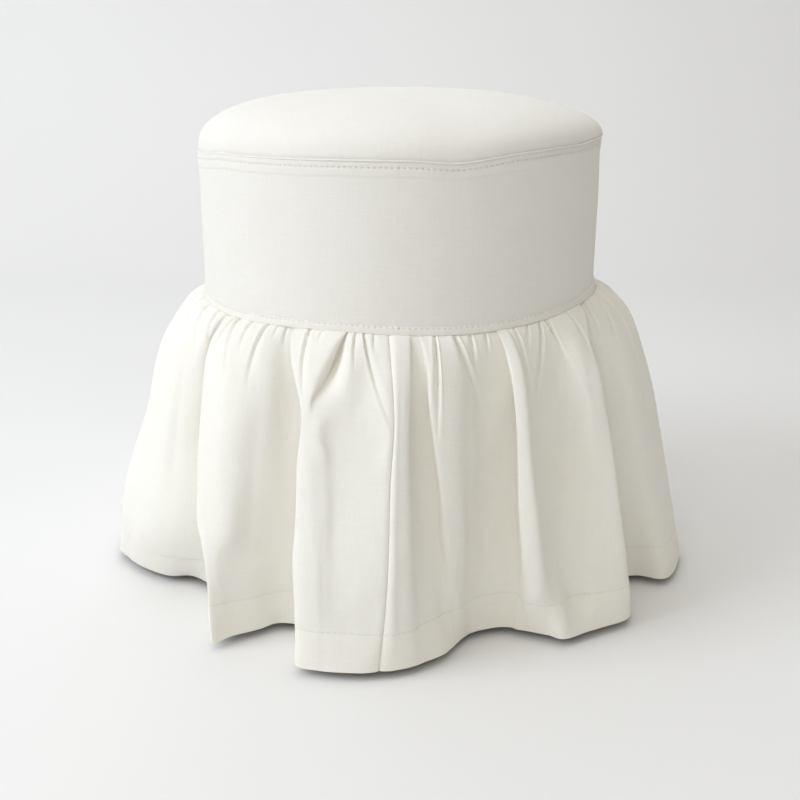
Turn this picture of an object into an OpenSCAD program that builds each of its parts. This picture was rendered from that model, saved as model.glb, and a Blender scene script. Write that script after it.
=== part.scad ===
// Round footstool: a padded drum on four turned legs, in a sewn cover with a gathered skirt.
// Millimetres. +Z is up, the floor is at z = 0, the axis of the drum is Z and the front faces -Y.
// Angles round the drum start at the front and grow towards +X.

/* [Overall] */
// Diameter of the drum, measured over its cover
seat_d = 360; // [330:5:400]
// Height from the floor to the top of the crown
seat_h = 440; // [420:5:480]
// Height of the side band, from the crown seam down to the waist seam
boxing_h = 134; // [120:2:150]
// Rise of the crown above the crown seam
crown_h = 46; // [38:1:54]
// Fullness of the crown: 2 is an ellipse, more is a flatter top with a rounder shoulder
crown_fullness = 2.25; // [2:0.05:3]

/* [Cover] */
// Thickness of the cover cloth
cloth_t = 1.2; // [0.8:0.1:1.6]
// Height of the piped crown seam
piping_t = 2.4; // [1.6:0.2:3.2]
// How far the piped crown seam stands out from the side band
piping_out = 1.2; // [0.6:0.1:1.6]
// Height of the stitched band along the waist seam
waist_band_h = 8; // [6:0.5:12]
// How far the stitched waist band stands out from the side band
waist_band_out = 0.9; // [0.5:0.1:1.4]

/* [Skirt] */
// How far the crests of the folds stand out from the drum at the hem
flare = 94; // [70:1:110]
// Depth of the folds at the hem, from crest to valley
fold_depth = 62; // [40:1:70]
// Gap between the floor and the hem
hem_gap = 7; // [5:0.5:20]
// How far the crests puff out just below the waist
crest_puff = 36; // [20:1:44]
// How far the valleys puff out just below the waist
valley_puff = 8; // [4:1:12]
// Length down the skirt over which it puffs out
puff_l = 18; // [12:1:30]
// Depth of the small gathers
gather_depth = 3; // [1:0.5:4]
// Length down the skirt over which the gathers die away
gather_l = 42; // [25:1:60]
// Angle of the front panel seam
front_seam_angle = -3.5; // [-6:0.5:0]

/* [Padding] */
// Thickness of the wadding over the seat foam
wadding_t = 8; // [5:1:12]
// Thickness of the foam round the side of the drum
side_foam_t = 10; // [6:1:14]
// Thickness of the calico under-cover
calico_t = 0.8; // [0.6:0.1:1.2]

/* [Drum] */
// Height of the wooden drum, from the underside of the base board to the top of the seat board
drum_h = 84; // [76:1:96]
// Thickness of the seat board
seat_board_t = 15; // [12:1:18]
// Thickness of the base board
base_board_t = 15; // [12:1:18]
// Thickness of the bent wall round the drum
wall_t = 3; // [2:0.5:4]
// Width of the square posts between the boards
post_w = 40; // [34:1:46]
// Distance from the rim of the boards to the outer face of a post
post_edge = 19; // [14:1:24]

/* [Legs] */
// Distance from the rim of the base board to the side of a leg
leg_edge = 25; // [20:1:34]
// Diameter of a leg at the top
leg_top_d = 46; // [38:1:50]
// Diameter of a leg at the foot
leg_foot_d = 30; // [24:1:34]
// Straight length at the top of a leg, above the taper
leg_neck_h = 30; // [20:1:50]
// Diameter of the glide under a leg
glide_d = 24; // [18:1:24]
// Thickness of the glide under a leg
glide_t = 5; // [3:0.5:8]

/* [Hardware] */
// Diameter of the hanger bolts
bolt_d = 8; // [6:1:10]
// Length of a hanger bolt inside its leg
bolt_in_leg_l = 36; // [28:1:45]
// Outer diameter of the barrel of a tee nut
tee_barrel_d = 10.6; // [10.4:0.1:12]
// Length of the barrel of a tee nut
tee_barrel_l = 10; // [8:0.5:11]
// Diameter of the flange of a tee nut
tee_flange_d = 24; // [20:1:28]
// Thickness of the flange of a tee nut
tee_flange_t = 1.6; // [1.2:0.1:2]
// Shank diameter of the wood screws
screw_d = 4; // [3.5:0.1:5]
// Head diameter of the wood screws
screw_head_d = 8; // [7.5:0.1:9.5]
// Length of the wood screws over the head
screw_l = 38; // [34:1:40]
// Spacing of the two screws in the end of a post
screw_pitch = 20; // [16:1:22]
// Shank diameter of the panel pins through the wall
pin_d = 1.6; // [1.2:0.1:2]
// Length of the panel pins
pin_l = 18; // [14:1:22]
// Distance of the panel pins from the inner face of their board
pin_edge = 5; // [4:0.5:6]
// Number of panel pins into the edge of each board
pin_count = 12; // [8:2:16]
// Head diameter of the upholstery tacks
tack_head_d = 8; // [6:0.5:9]
// Thickness of the head of an upholstery tack
tack_head_t = 1; // [0.8:0.1:1.4]
// Shank diameter of the upholstery tacks
tack_d = 1.6; // [1.2:0.1:2]
// Length of the upholstery tacks under the head
tack_l = 9; // [7:0.5:10]
// Number of upholstery tacks round the underside
tack_count = 16; // [12:4:24]

/* [Hidden] */
$fn = 96;

// Clearance between cloth, wadding and foam
soft_gap = 0.3;
// Clearance between wooden pieces
wood_gap = 0.2;
// Clearance round a shank in its hole
shank_gap = 0.1;
// Gap between the two skirt panels at a seam
seam_gap = 0.3;
// Overrun of every cut
cut = 1;

// Thickness of the dust cover under the drum
dust_t = 0.6;
// Width of cloth turned under the base board, inwards from the drum's wall
turn_w = 16;
// Lap of the dust cover over the turned cloth
dust_lap = 10;
// Clearance round a leg in the dust cover
dust_leg_gap = 1.5;
// Clearance round a hanger bolt in the base board
bolt_hole_gap = 0.5;
// Depth left under a bolt or nail in its blind hole
blind_gap = 1;
// Height of the head of a wood screw
screw_head_h = 2.6;
// Chamfer at the tip of a bolt
bolt_tip = 1.2;
// Diameter of the nail of a glide
glide_nail_d = 2.4;
// Length of the nail of a glide
glide_nail_l = 16;
// Rounding round the foot of a glide
glide_round = 1.5;
// Rounding of the top edge of a leg
leg_round = 3;
// Length over which the gathers start below the waist seam
gather_start_l = 7;

crown_steps = 20;
round_steps = 6;
// Columns of the skirt's cloth from one mark of its folds to the next
fold_steps = 2;
row_shares = [0, 0.05, 0.12, 0.24, 0.4, 0.55, 0.7, 0.85, 1];
// Steepest side of a small gather: its depth against its width
gather_steep_share = 0.25;

// Marks of the skirt's folds, round from the front seam. Each has its angle at the waist, at the
// level part of the way down and at the hem. Both seams between the panels hang straight.
back_seam_angle = 180;
fold_angles = [
    [front_seam_angle, front_seam_angle, front_seam_angle],
    [2.2, 1.5, 2.6], [3.6, 4.2, 8.6], [5.6, 7.8, 11], [6.6, 9.3, 13], [12, 11.6, 14.8],
    [16, 16, 17.5], [20.5, 21, 22], [24, 23.8, 26.4], [25.6, 25, 29.2], [27.6, 27.2, 31.8],
    [30, 30.2, 35], [39, 41.5, 38], [47.5, 44.8, 41.6], [52, 47.6, 47.5], [54.5, 50, 52.6],
    [57, 54.2, 58], [62, 61, 66.5], [69.5, 69.5, 71.5], [80, 81, 81], [89, 90, 90],
    [97, 96.6, 96], [102.5, 102.7, 103], [106.2, 106.8, 107.5], [113, 113.4, 114],
    [120, 119.8, 119.5], [131, 130.8, 130.5], [138.5, 139.3, 140.5], [143.5, 143.8, 144.5],
    [151, 151, 151], [158, 157.4, 156.5], [163, 162.2, 161], [168, 167.6, 167],
    [174, 174.2, 174.5],
    [back_seam_angle, back_seam_angle, back_seam_angle],
    [188, 187.8, 187.5], [194, 193.6, 193], [199, 198.6, 198], [204, 203.8, 203.5],
    [210.5, 211.1, 212], [216, 216.6, 217.5], [224, 224, 224], [232, 231.6, 231],
    [239, 238.4, 237.5], [245, 244.2, 243], [252, 252, 252], [263, 265, 267], [276, 278, 276],
    [290, 296, 285], [300.4, 303, 293], [305.6, 307.6, 299], [308.4, 312.4, 311],
    [310.6, 317, 323.6], [317.6, 323, 325.6], [325, 329.5, 328.4], [332, 334.5, 333],
    [334.6, 338.2, 338.8], [336.8, 341, 342.4], [342.8, 343.6, 344.6], [345.4, 345.8, 347],
    [349.2, 348.6, 350.2]
];
// How far each mark stands out at the same three levels, from 0 in a valley to 1 on a crest
fold_out_shares = [
    [0.88, 0.92, 0.79],
    [0.86, 0.87, 0.64], [0.2, 0.14, 0.34], [0.22, 0.18, 0.24], [0.64, 0.56, 0.12],
    [0.66, 0.6, 0.03], [0.4, 0.3, -0.06], [0.2, 0.03, -0.1], [0.08, 0, -0.02], [0.75, 0.73, 0.22],
    [0.87, 0.86, 0.42], [0.6, 0.62, 0.65], [0.38, 0.28, 0.66], [0.86, 0.86, 0.69],
    [0.92, 1.02, 0.8], [0.4, 0.46, 0.7], [-0.05, -0.16, -0.1], [0.6, 0.55, 0.42],
    [0.97, 1.04, 0.96], [1.18, 1.1, 1.02], [1.1, 0.68, 0.62], [0.7, 0.36, -0.08],
    [0.9, 0.8, 0.62], [0.97, 0.98, 1], [1, 0.99, 0.97], [0.72, 0.7, 0.66],
    [0, -0.02, -0.05], [0.45, 0.52, 0.62], [0.92, 0.95, 1],
    [1, 0.97, 0.92], [0.8, 0.72, 0.6], [0.3, 0.23, 0.12], [0, -0.02, -0.05],
    [0.55, 0.53, 0.5],
    [0.9, 0.87, 0.8],
    [0.95, 0.92, 0.84], [0.73, 0.7, 0.65], [0.25, 0.25, 0.25], [0, 0, 0],
    [0.5, 0.52, 0.55], [0.95, 0.97, 1], [0.93, 0.92, 0.9], [1, 0.98, 0.95],
    [0.6, 0.56, 0.5], [0.2, 0.18, 0.15], [0, 0, 0], [0.85, 0.98, 1], [1.04, 1.06, 1.03],
    [0.95, 0.97, 0.84], [0.82, 0.68, 0.4], [0.38, 0.34, -0.04], [0.09, 0.05, -0.1],
    [0.85, 0.95, 0.87], [0.97, 1, 0.62], [0.8, 0.66, 0.28], [0.28, 0.14, -0.15],
    [0, -0.1, -0.15], [0.85, 0.96, 0.86], [0.95, 1, 0.88], [0.25, 0.97, 0.87],
    [0.85, 0.92, 0.86]
];
// Share of the way down at which the middle one of the three levels lies
middle_share = 0.4;

// Mark at the back seam
back_mark = [for (i = [0 : len(fold_angles) - 1]) if (fold_angles[i][0] == back_seam_angle) i][0];

leg_angles = [-45, 45, -135, 135];
post_angles = [0, 90, 180, 270];

// Heights
crown_z = seat_h - crown_h;
waist_z = crown_z - boxing_h;
dome_z = crown_z + piping_t / 2;
dome_h = seat_h - dome_z;
under_t = calico_t + cloth_t + dust_t;
base_z = waist_z + under_t + tack_head_t;
deck_z = base_z + drum_h;
skirt_drop = waist_z - hem_gap;

// Radii, from the outside in
seat_r = seat_d / 2;
cover_in_r = seat_r - cloth_t;
calico_r = cover_in_r - soft_gap;
calico_in_r = calico_r - calico_t;
pad_r = calico_in_r - soft_gap;
pad_in_r = pad_r - side_foam_t;
wall_r = pad_in_r - soft_gap;
wall_in_r = wall_r - wall_t;
board_r = wall_in_r - wood_gap;
turn_r = board_r - turn_w;
dust_r = turn_r + dust_lap;
tack_r = (turn_r + dust_r) / 2;
post_circle_r = board_r - post_edge - post_w / 2;
leg_circle_r = board_r - leg_edge - leg_top_d / 2;
skirt_r = (cover_in_r + seat_r + waist_band_out) / 2;

// Depths of the layers below the outside of the crown
calico_depth = seat_r - calico_r;
wadding_depth = seat_r - pad_r;
foam_depth = wadding_depth + wadding_t + soft_gap;

// Outline of the crown at a depth below its outside, from the rim to the middle
function dome(depth) = [
    for (i = [0 : crown_steps])
        let (a = 90 * i / crown_steps, power = 2 / crown_fullness)
        [
            (seat_r - depth) * pow(max(cos(a), 0), power),
            dome_z + (dome_h - depth) * pow(sin(a), power)
        ]
];

function reversed(points) = [for (i = [len(points) - 1 : -1 : 0]) points[i]];

// Quarter round about a centre, from one angle to another
function arc(centre, r, from, to) = [
    for (i = [0 : round_steps])
        let (a = from + (to - from) * i / round_steps)
        centre + r * [cos(a), sin(a)]
];

// Point on a circle round the drum, at an angle from the front
function round_point(r, a) = [r * sin(a), -r * cos(a)];

module ring(r_in, r_out, z_low, z_high) {
    rotate_extrude()
        translate([r_in, z_low])
            square([r_out - r_in, z_high - z_low]);
}

module disc(r, z_low, z_high) {
    translate([0, 0, z_low])
        cylinder(r = r, h = z_high - z_low);
}

// Shell between two depths below the outside of the crown
module dome_shell(depth, t) {
    rotate_extrude()
        polygon(concat(dome(depth), reversed(dome(depth + t))));
}

module at_angles(angles, r) {
    for (a = angles)
        translate(round_point(r, a))
            rotate(a)
                children();
}

module evenly(count, r) {
    at_angles([for (i = [0 : count - 1]) 360 * (i + 0.5) / count], r)
        children();
}

// Legs and their hardware

module leg(a) {
    color("burlywood")
        translate(round_point(leg_circle_r, a))
            difference() {
                rotate_extrude()
                    polygon(concat(
                        [[0, glide_t], [leg_foot_d / 2, glide_t],
                         [leg_top_d / 2, base_z - leg_neck_h]],
                        arc([leg_top_d / 2 - leg_round, base_z - leg_round], leg_round, 0, 90),
                        [[0, base_z]]
                    ));
                translate([0, 0, base_z - bolt_in_leg_l - blind_gap])
                    cylinder(d = bolt_d + 2 * shank_gap, h = bolt_in_leg_l + blind_gap + cut);
                translate([0, 0, glide_t - cut])
                    cylinder(
                        d = glide_nail_d + 2 * shank_gap,
                        h = glide_nail_l + blind_gap + cut
                    );
            }
}

module leg_glides() {
    color("dimgray")
        at_angles(leg_angles, leg_circle_r) {
            rotate_extrude()
                polygon(concat(
                    [[0, 0], [glide_d / 2 - glide_round, 0]],
                    arc([glide_d / 2 - glide_round, glide_round], glide_round, -90, 0),
                    [[glide_d / 2, glide_t], [glide_nail_d / 2, glide_t],
                     [glide_nail_d / 2, glide_t + glide_nail_l], [0, glide_t + glide_nail_l]]
                ));
        }
}

module hanger_bolts() {
    low = base_z - bolt_in_leg_l;
    high = base_z + base_board_t + tee_flange_t;
    color("silver")
        at_angles(leg_angles, leg_circle_r)
            rotate_extrude()
                polygon([
                    [0, low], [bolt_d / 2 - bolt_tip, low], [bolt_d / 2, low + bolt_tip],
                    [bolt_d / 2, high - bolt_tip], [bolt_d / 2 - bolt_tip, high], [0, high]
                ]);
}

module tee_nuts() {
    top = base_z + base_board_t;
    bore_r = bolt_d / 2 + shank_gap;
    color("gainsboro")
        at_angles(leg_angles, leg_circle_r)
            rotate_extrude()
                polygon([
                    [bore_r, top - tee_barrel_l], [tee_barrel_d / 2, top - tee_barrel_l],
                    [tee_barrel_d / 2, top], [tee_flange_d / 2, top],
                    [tee_flange_d / 2, top + tee_flange_t], [bore_r, top + tee_flange_t]
                ]);
}

// Drum

// Countersunk wood screw, its head's face at z = 0 and its tip below
module screw() {
    rotate_extrude()
        polygon([
            [0, 0], [screw_head_d / 2, 0],
            [screw_d / 2, -screw_head_h], [screw_d / 2, -screw_l], [0, -screw_l]
        ]);
}

// Space that a wood screw needs, open above its head
module screw_hole() {
    head_r = screw_head_d / 2 + shank_gap;
    hole_r = screw_d / 2 + shank_gap;
    depth = screw_l + shank_gap;
    rotate_extrude()
        polygon([
            [0, cut], [head_r, cut], [head_r, 0],
            [hole_r, -screw_head_h - shank_gap], [hole_r, -depth], [0, -depth]
        ]);
}

// The two screws into the top of each post, side by side
module at_seat_screws() {
    translate([0, 0, deck_z])
        at_angles(post_angles, post_circle_r)
            for (side = [-1, 1])
                translate([side * screw_pitch / 2, 0, 0])
                    children();
}

// The two screws into the foot of each post, one behind the other, clear of those above
module at_base_screws() {
    translate([0, 0, base_z])
        at_angles(post_angles, post_circle_r)
            for (side = [-1, 1])
                translate([0, side * screw_pitch / 2, 0])
                    mirror([0, 0, 1])
                        children();
}

// Points round the wall's face where a pin goes in, turned so that +Z runs inwards
module at_pins(r) {
    for (z = [base_z + base_board_t - pin_edge, deck_z - seat_board_t + pin_edge])
        translate([0, 0, z])
            evenly(pin_count, r)
                rotate([-90, 0, 0])
                    children();
}

module pin_holes() {
    at_pins(wall_r + cut)
        cylinder(d = pin_d + 2 * shank_gap, h = pin_l + wood_gap + shank_gap + cut);
}

module base_board() {
    top = base_z + base_board_t;
    color("wheat")
        difference() {
            disc(board_r, base_z, top);
            at_angles(leg_angles, leg_circle_r) {
                translate([0, 0, base_z - cut])
                    cylinder(d = bolt_d + 2 * bolt_hole_gap, h = base_board_t + 2 * cut);
                translate([0, 0, top - tee_barrel_l - shank_gap])
                    cylinder(d = tee_barrel_d + 2 * shank_gap, h = tee_barrel_l + cut);
            }
            at_base_screws()
                screw_hole();
            pin_holes();
            tack_holes();
        }
}

module seat_board() {
    color("wheat")
        difference() {
            disc(board_r, deck_z - seat_board_t, deck_z);
            at_seat_screws()
                screw_hole();
            pin_holes();
        }
}

module post(a) {
    low = base_z + base_board_t;
    high = deck_z - seat_board_t;
    color("tan")
        difference() {
            translate(round_point(post_circle_r, a))
                rotate(a)
                    translate([-post_w / 2, -post_w / 2, low])
                        cube([post_w, post_w, high - low]);
            at_seat_screws()
                screw_hole();
            at_base_screws()
                screw_hole();
        }
}

module drum_wall() {
    color("peru")
        difference() {
            ring(wall_in_r, wall_r, base_z, deck_z);
            pin_holes();
        }
}

// Panel pins, punched to just under the wall's face
module wall_pins() {
    color("silver")
        at_pins(wall_r - wood_gap)
            cylinder(d = pin_d, h = pin_l);
}

module seat_board_screws() {
    color("goldenrod")
        at_seat_screws()
            screw();
}

module base_board_screws() {
    color("goldenrod")
        at_base_screws()
            screw();
}

// Padding

module side_foam() {
    color("lemonchiffon")
        ring(pad_in_r, pad_r, base_z, deck_z);
}

module seat_foam() {
    color("lemonchiffon")
        rotate_extrude()
            polygon(concat([[0, deck_z], [pad_r, deck_z], [pad_r, dome_z]], dome(foam_depth)));
}

module wadding() {
    color("whitesmoke")
        dome_shell(wadding_depth, wadding_t);
}

module calico_cover() {
    low = base_z - calico_t;
    color("antiquewhite")
        difference() {
            rotate_extrude()
                polygon(concat(
                    [[turn_r, base_z], [turn_r, low], [calico_r, low]],
                    dome(calico_depth),
                    reversed(dome(calico_depth + calico_t)),
                    [[calico_in_r, base_z]]
                ));
            tack_holes();
        }
}

// Cover

module crown_panel() {
    color("ivory")
        dome_shell(0, cloth_t);
}

module crown_piping() {
    nose_r = piping_t / 2;
    color("white")
        rotate_extrude()
            polygon(concat(
                [[cover_in_r, crown_z - nose_r]],
                arc([seat_r + piping_out - nose_r, crown_z], nose_r, -90, 90),
                [[cover_in_r, crown_z + nose_r]]
            ));
}

module side_band() {
    color("ivory")
        ring(cover_in_r, seat_r, waist_z + waist_band_h, crown_z - piping_t / 2);
}

module waist_band() {
    edge_r = seat_r + waist_band_out;
    color("white")
        rotate_extrude()
            polygon(concat(
                [[cover_in_r, waist_z]],
                arc([edge_r - waist_band_out, waist_z + waist_band_out], waist_band_out, -90, 0),
                arc(
                    [edge_r - waist_band_out, waist_z + waist_band_h - waist_band_out],
                    waist_band_out, 0, 90
                ),
                [[cover_in_r, waist_z + waist_band_h]]
            ));
}

// Strip sewn into the waist seam, turned under the base board and tacked there
module waist_facing() {
    high = base_z - calico_t;
    color("ivory")
        difference() {
            ring(turn_r, cover_in_r - soft_gap, high - cloth_t, high);
            tack_holes();
        }
}

// Skirt

// Value at a share of the way down, from a row's values at its three levels
function down_row(row, down) =
    down < middle_share
        ? row[0] + (row[1] - row[0]) * down / middle_share
        : row[1] + (row[2] - row[1]) * (down - middle_share) / (1 - middle_share);

// Angle of one mark of the folds, and how far it stands out. The mark after the last is the
// first, a full turn on.
function fold_mark(i, down) =
    let (n = len(fold_angles), j = (i + n) % n, turn = i < 0 ? -360 : i < n ? 0 : 360)
    [turn + down_row(fold_angles[j], down), down_row(fold_out_shares[j], down)];

// The same at a column of the cloth, on a smooth line through the marks, with the width of the
// gather that sinks in there
function fold_at(i, down) =
    let (
        j = floor(i / fold_steps),
        t = i / fold_steps - j,
        marks = [for (k = [j - 1 : j + 2]) fold_mark(k, down)],
        width = marks[2][0] - marks[1][0],
        rise = marks[2][1] - marks[1][1],
        start = width * (marks[2][1] - marks[0][1]) / (marks[2][0] - marks[0][0]),
        end = width * (marks[3][1] - marks[1][1]) / (marks[3][0] - marks[1][0])
    )
    [
        marks[1][0] + width * t,
        marks[1][1] + t * (start + t * (3 * rise - 2 * start - end + t * (start + end - 2 * rise))),
        t == 0 ? 0 : PI / 180 * width * skirt_r
    ];

// Point in the middle of the skirt's cloth, at a column and a depth below the waist seam
function skirt_point(i, d, turn = 0) =
    let (
        puff = 1 - exp(-d / puff_l),
        down = d / skirt_drop,
        crest = crest_puff * puff + (flare - crest_puff) * down,
        valley = valley_puff * puff + (flare - fold_depth - valley_puff) * down,
        at = fold_at(i, down),
        gather = min(gather_depth, gather_steep_share * at[2])
            * (1 - exp(-d / gather_start_l)) * exp(-d / gather_l),
        p = round_point(skirt_r + valley + (crest - valley) * at[1] - gather, at[0] + turn)
    )
    [p[0], p[1], waist_z - d];

// Point at an offset outwards from there
function skirt_face(i, d, offset, turn) =
    let (
        along = skirt_point(i + 1, d) - skirt_point(i - 1, d),
        out = [along[1], -along[0], 0] / norm(along)
    )
    skirt_point(i, d, turn) + out * offset;

function halves(a, b, c, d) = [[a, b, c], [a, c, d]];

// Cloth of one skirt panel between two marks, as one closed shell
module skirt_panel(from, to) {
    n = (to - from) * fold_steps + 1;
    m = len(row_shares);
    inner = n * m;
    trim = asin(seam_gap / 2 / skirt_r);
    points = [
        for (side = [1, -1])
            for (share = row_shares)
                for (i = [0 : n - 1])
                    skirt_face(
                        from * fold_steps + i, share * skirt_drop, side * cloth_t / 2,
                        i == 0 ? trim : i == n - 1 ? -trim : 0
                    )
    ];
    surfaces = [
        for (j = [0 : m - 2])
            for (i = [0 : n - 2])
                let (p = j * n + i, q = p + n)
                concat(
                    halves(p, p + 1, q + 1, q),
                    halves(inner + p, inner + q, inner + q + 1, inner + p + 1)
                )
    ];
    edges = [
        for (i = [0 : n - 2])
            let (p = i, q = (m - 1) * n + i)
            concat(
                halves(p, inner + p, inner + p + 1, p + 1),
                halves(q, q + 1, inner + q + 1, inner + q)
            )
    ];
    ends = [
        for (j = [0 : m - 2])
            let (p = j * n, q = j * n + n - 1)
            concat(
                halves(p, p + n, inner + p + n, inner + p),
                halves(q, inner + q, inner + q + n, q + n)
            )
    ];
    polyhedron(
        points = points,
        faces = [for (group = concat(surfaces, edges, ends)) for (face = group) face]
    );
}

module skirt_panel_right() {
    color("floralwhite")
        skirt_panel(0, back_mark);
}

module skirt_panel_left() {
    color("floralwhite")
        skirt_panel(back_mark, len(fold_angles));
}

// Underside

module tack_holes() {
    evenly(tack_count, tack_r)
        translate([0, 0, base_z - under_t - cut])
            cylinder(d = tack_d + 2 * shank_gap, h = tack_l + cut + shank_gap);
}

module dust_cover() {
    high = base_z - calico_t - cloth_t;
    color("darkslategray")
        difference() {
            disc(dust_r, high - dust_t, high);
            at_angles(leg_angles, leg_circle_r)
                translate([0, 0, high - dust_t - cut])
                    cylinder(d = leg_top_d + 2 * dust_leg_gap, h = dust_t + 2 * cut);
            tack_holes();
        }
}

module cover_tacks() {
    face = base_z - under_t;
    color("silver")
        evenly(tack_count, tack_r) {
            translate([0, 0, face - tack_head_t])
                cylinder(d = tack_head_d, h = tack_head_t);
            translate([0, 0, face])
                cylinder(d = tack_d, h = tack_l);
        }
}

leg(leg_angles[0]);  // leg_front_left
leg(leg_angles[1]);  // leg_front_right
leg(leg_angles[2]);  // leg_back_left
leg(leg_angles[3]);  // leg_back_right
leg_glides();
hanger_bolts();
tee_nuts();
base_board();
seat_board();
post(post_angles[0]);  // post_front
post(post_angles[1]);  // post_right
post(post_angles[2]);  // post_back
post(post_angles[3]);  // post_left
drum_wall();
wall_pins();
seat_board_screws();
base_board_screws();
side_foam();
seat_foam();
wadding();
calico_cover();
crown_panel();
crown_piping();
side_band();
waist_band();
waist_facing();
skirt_panel_right();
skirt_panel_left();
dust_cover();
cover_tacks();
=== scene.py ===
import math

import bmesh
import bpy
import numpy as np
from mathutils import Matrix, Vector


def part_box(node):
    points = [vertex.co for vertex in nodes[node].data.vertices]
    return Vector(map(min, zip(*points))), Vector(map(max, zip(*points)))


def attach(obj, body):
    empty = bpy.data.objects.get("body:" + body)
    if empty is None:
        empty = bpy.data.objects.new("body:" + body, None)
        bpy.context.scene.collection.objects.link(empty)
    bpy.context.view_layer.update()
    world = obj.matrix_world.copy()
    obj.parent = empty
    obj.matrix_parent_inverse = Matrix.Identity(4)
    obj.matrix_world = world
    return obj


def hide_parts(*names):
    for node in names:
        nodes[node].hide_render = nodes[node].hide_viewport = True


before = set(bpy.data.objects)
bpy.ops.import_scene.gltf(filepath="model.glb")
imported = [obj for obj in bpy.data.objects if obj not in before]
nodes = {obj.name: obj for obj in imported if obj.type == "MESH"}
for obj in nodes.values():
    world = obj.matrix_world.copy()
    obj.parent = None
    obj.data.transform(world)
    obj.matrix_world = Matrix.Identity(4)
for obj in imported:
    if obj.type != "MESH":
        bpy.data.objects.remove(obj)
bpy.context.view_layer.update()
mm = 0.001
print("frame loaded:", len(nodes), "nodes")


def low(node):
    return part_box(node)[0]


def high(node):
    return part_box(node)[1]


# Sizes that the frame gives, in metres
drumR = high("side_band").x
ridgeZ = (low("crown_piping").z + high("crown_piping").z) / 2
topZ = high("crown_panel").z
bandZ = high("waist_band").z
waistZ = low("waist_band").z
hemZ = low("skirt_panel_right").z
domeZ = low("wadding").z
calicoR = high("calico_cover").x
padR = high("side_foam").x
boardLowZ = low("base_board").z
boardTopZ = high("seat_board").z
legX = (low("leg_front_right").x + high("leg_front_right").x) / 2


def addObject(name, data):
    thing = bpy.data.objects.new(name, data)
    bpy.context.scene.collection.objects.link(thing)
    return thing


def addMesh(name, points, faces):
    mesh = bpy.data.meshes.new(name)
    mesh.from_pydata(points, [], faces)
    mesh.shade_smooth()
    return addObject(name, mesh)


# Camera, floor and light

shot = {
    "place": (0.0005, -1.0239, 0.4836),
    "tilt": 0.316,  # radians below the horizon
    "focal": 49.8,
    "sensor": 36,
}

camera = addObject("camera", bpy.data.cameras.new("camera"))
camera.data.lens = shot["focal"]
camera.data.sensor_width = shot["sensor"]
camera.location = shot["place"]
camera.rotation_euler = (math.pi / 2 - shot["tilt"], 0, 0)
bpy.context.scene.camera = camera


def makeNode(tree, kind, inputs=None, **settings):
    node = tree.nodes.new("ShaderNode" + kind)
    for key, value in settings.items():
        setattr(node, key, value)
    for key, value in (inputs or {}).items():
        if isinstance(value, bpy.types.NodeSocket):
            tree.links.new(value, node.inputs[key])
        else:
            node.inputs[key].default_value = value
    return node


def mathOf(tree, operation, first, second=0.0):
    return makeNode(tree, "Math", {0: first, 1: second}, operation=operation).outputs[0]


def plus(tree, first, second):
    return mathOf(tree, "ADD", first, second)


def times(tree, first, second):
    return mathOf(tree, "MULTIPLY", first, second)


def rangeOf(tree, value, fromLow, fromHigh, toLow=0.0, toHigh=1.0):
    inputs = {"Value": value, "From Min": fromLow, "From Max": fromHigh, "To Min": toLow, "To Max": toHigh}
    return makeNode(tree, "MapRange", inputs, interpolation_type="SMOOTHSTEP").outputs["Result"]


def mixOf(tree, share, first, second):
    inputs = {0: share}
    for key, value in ((6, first), (7, second)):
        inputs[key] = (*value, 1) if isinstance(value, tuple) else value
    return makeNode(tree, "Mix", inputs, data_type="RGBA").outputs[2]


def axesOf(tree, vector):
    return makeNode(tree, "SeparateXYZ", {0: vector}).outputs


def scaled(tree, vector, scale):
    return makeNode(tree, "Mapping", {"Vector": vector, "Scale": scale}).outputs["Vector"]


def noiseOf(tree, vector, scale, detail=2.0, rough=0.5):
    inputs = {"Vector": vector, "Scale": scale, "Detail": detail, "Roughness": rough}
    return makeNode(tree, "TexNoise", inputs).outputs["Fac"]


def cellsOf(tree, vector, scale):
    return makeNode(tree, "TexVoronoi", {"Vector": vector, "Scale": scale}).outputs["Distance"]


def bumpOf(tree, height, distance, strength=1.0, normal=None):
    inputs = {"Height": height, "Distance": distance, "Strength": strength}
    if normal:
        inputs["Normal"] = normal
    return makeNode(tree, "Bump", inputs).outputs["Normal"]


def objectPlace(tree):
    return makeNode(tree, "TexCoord").outputs["Object"]


def pointPlace(tree, name):
    return makeNode(tree, "Attribute", attribute_name=name).outputs["Vector"]


def startMaterial(name, roughness, **uniform):
    material = bpy.data.materials.new(name)
    material.use_nodes = True
    surface = material.node_tree.nodes["Principled BSDF"].inputs
    surface["Roughness"].default_value = roughness
    for key, value in uniform.items():
        surface[key.replace("_", " ")].default_value = value
    return material, material.node_tree


def finished(material, colour, normal, roughness=None):
    tree = material.node_tree
    for key, socket in (("Base Color", colour), ("Normal", normal), ("Roughness", roughness)):
        if socket:
            tree.links.new(socket, tree.nodes["Principled BSDF"].inputs[key])
    return material


room = {
    "wallY": 1.75,
    "bend": 0.55,  # radius of the sweep from floor to wall
    "halfWidth": 4.0,
    "frontY": -3.5,
    "wallTop": 3.2,
    "steps": 24,
    "floorColour": (0.82, 0.821, 0.824),
    "wallColour": (0.85, 0.852, 0.856),
    "paler": 1.012,  # how much paler the paper is in patches
    "roughness": 0.75,
}


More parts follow.
